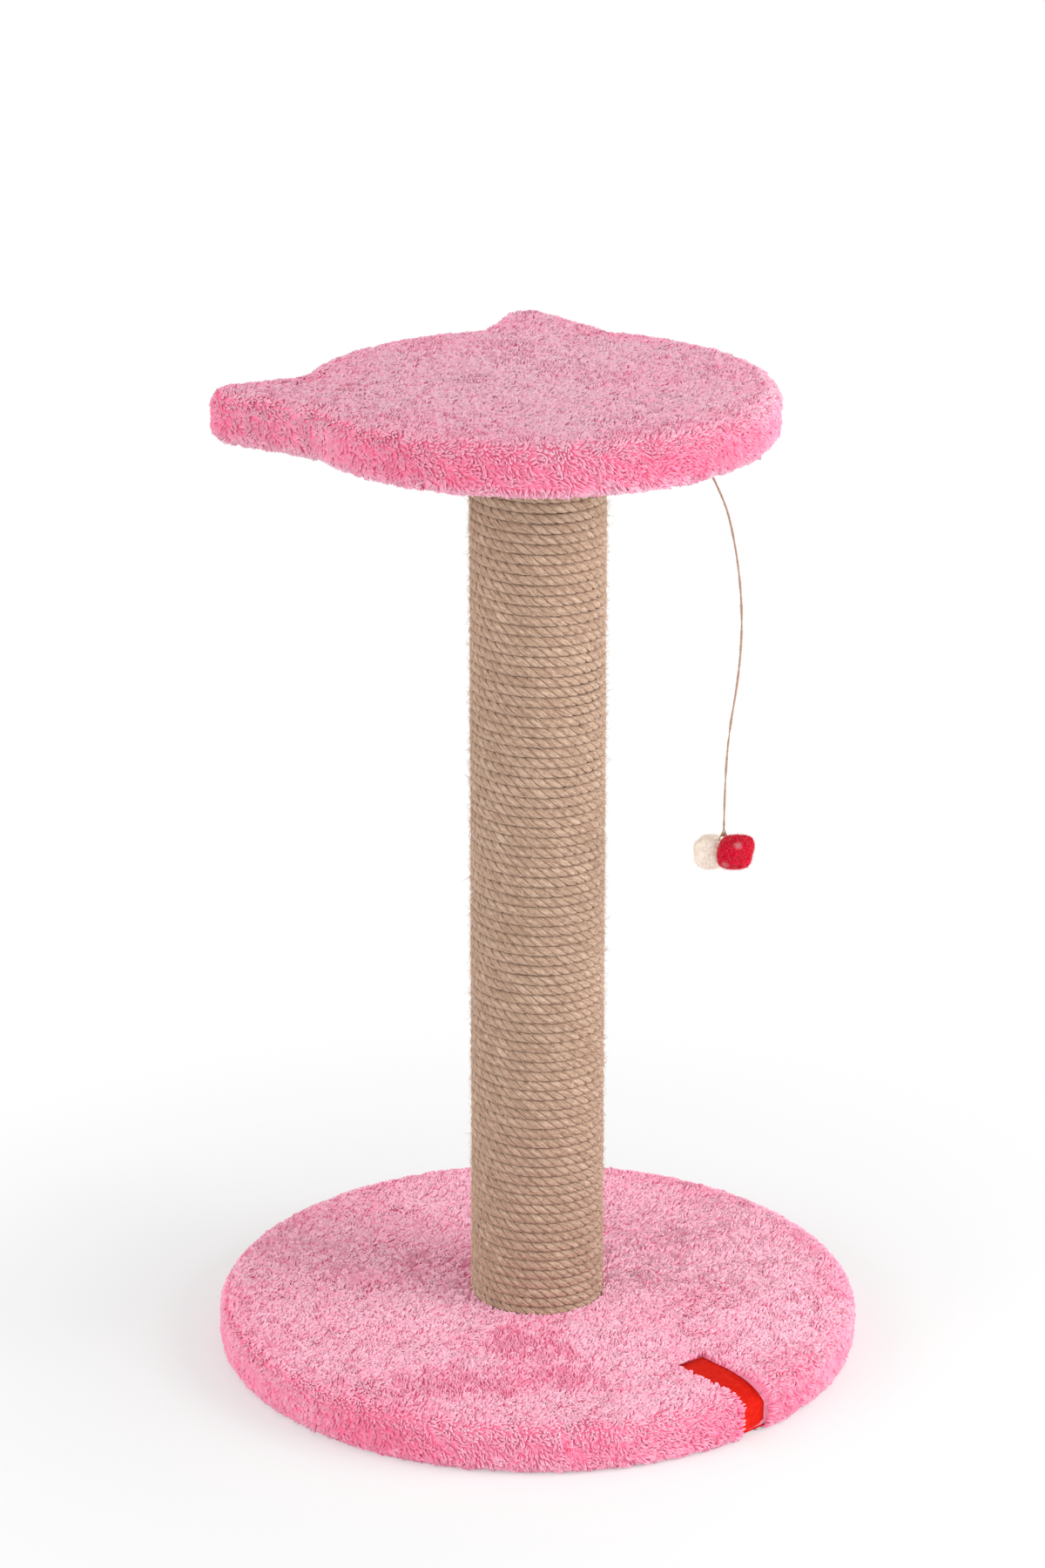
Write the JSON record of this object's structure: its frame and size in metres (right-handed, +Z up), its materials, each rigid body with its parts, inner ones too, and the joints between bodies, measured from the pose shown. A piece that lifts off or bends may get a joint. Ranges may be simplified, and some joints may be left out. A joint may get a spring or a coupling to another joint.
{
  "type": "cat scratching post",
  "caption": "Free-standing scratching post: round plush base, rope-wound post, plush cat-head platform on top and felt balls swinging on a twine.",
  "frame": {"origin": "on the floor, under the middle of the base and on the post's axis", "axes": "+Z up along the post, +Y towards the side where the platform's ears are, +X to the right seen from the label side"},
  "size_m": [0.359, 0.359, 0.5565],
  "materials": {
    "pink_plush": "curly sherpa pile",
    "fibreboard": "bare fibreboard",
    "liner_cloth": "nonwoven cloth",
    "red_ribbon": "plain woven ribbon",
    "tube_board": "spiral-wound board",
    "plug_wood": "bare pine",
    "steel": "zinc plated",
    "jute_rope": "twisted jute",
    "jute_twine": "twisted jute",
    "cream_felt": "wool felt",
    "red_felt": "wool felt"
  },
  "bodies": {
    "stand": {"base_board": "fibreboard", "base_cover": "pink_plush", "base_liner": "liner_cloth", "base_staples": "steel", "label_ribbon": "red_ribbon", "base_bolt": "steel", "base_washer": "steel", "post_tube": "tube_board", "post_foot_plug": "plug_wood", "post_head_plug": "plug_wood", "post_foot_insert": "steel", "post_head_insert": "steel", "plug_screws": "steel", "rope_winding_1": "jute_rope", "rope_winding_2": "jute_rope", "rope_winding_3": "jute_rope", "rope_winding_4": "jute_rope", "rope_end_staples": "steel", "platform_board": "fibreboard", "platform_cover": "pink_plush", "platform_liner": "liner_cloth", "platform_staples": "steel", "platform_tee_nut": "steel", "platform_stud": "steel", "toy_hook": "steel"},
    "toy_link": {"toy_loop": "jute_twine"},
    "toy_line": {"toy_eye": "jute_twine", "toy_twine": "jute_twine"},
    "toy_pair": {"toy_knot": "jute_twine", "ball_cream": "cream_felt", "ball_red": "red_felt"}
  },
  "joints": [
    {"name": "toy_swing_out", "type": "hinge", "parent": "stand", "child": "toy_link", "pos_m": [0.03223, -0.09466, 0.5266], "axis": [-0.9466, -0.3223, 0], "range_deg": [-12, 45]},
    {"name": "toy_swing_side", "type": "hinge", "parent": "toy_link", "child": "toy_line", "pos_m": [0.03223, -0.09466, 0.5199], "axis": [0.3223, -0.9466, 0], "range_deg": [-45, 45]},
    {"name": "toy_twist", "type": "hinge", "parent": "toy_line", "child": "toy_pair", "pos_m": [0.03833, -0.10146, 0.3158], "axis": [0, 0, 1], "range_deg": [-180, 180]}
  ]
}
